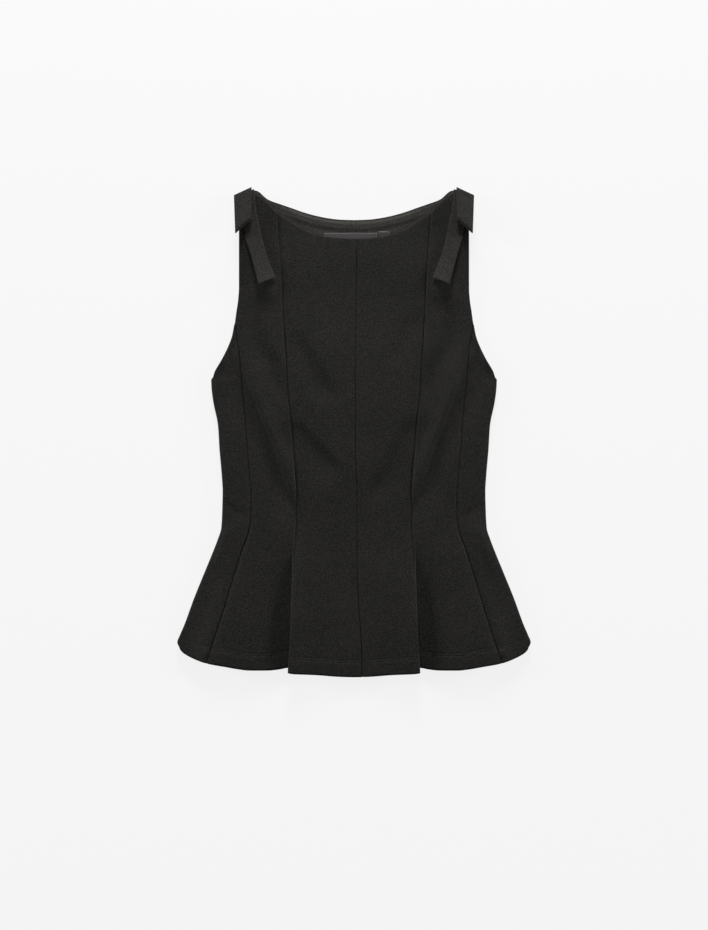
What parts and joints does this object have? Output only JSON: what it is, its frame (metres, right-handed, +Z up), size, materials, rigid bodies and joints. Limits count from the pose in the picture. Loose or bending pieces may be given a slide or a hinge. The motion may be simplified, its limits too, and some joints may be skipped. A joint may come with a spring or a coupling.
{
  "type": "peplum top",
  "caption": "Sleeveless peplum top of black crepe laid flat, with a scoop neck, princess seams, a folded flared hem and a ribbon bow on each shoulder.",
  "frame": {"origin": "on the surface under the middle of the laid-out top", "axes": "+Y from the hem to the neck, +Z up out of the surface through the front, +X to the right as the front is seen from above"},
  "size_m": [0.441, 0.611, 0.0143],
  "materials": {
    "crepe": "matte black stretch crepe",
    "facing": "matte black facing crepe",
    "satin": "dark grey woven satin"
  },
  "bodies": {
    "root": {"front_centre_left": "crepe", "front_centre_right": "crepe", "front_side_left": "crepe", "front_side_right": "crepe", "side_panel_left": "crepe", "side_panel_right": "crepe", "back_centre_left": "crepe", "back_centre_right": "crepe", "back_side_left": "crepe", "back_side_right": "crepe", "neck_facing_left": "facing", "neck_facing_right": "facing", "neck_label": "satin", "size_tab": "satin", "bow_tail_left": "crepe", "bow_tail_right": "crepe", "bow_loop_left": "crepe", "bow_loop_right": "crepe"}
  },
  "joints": []
}
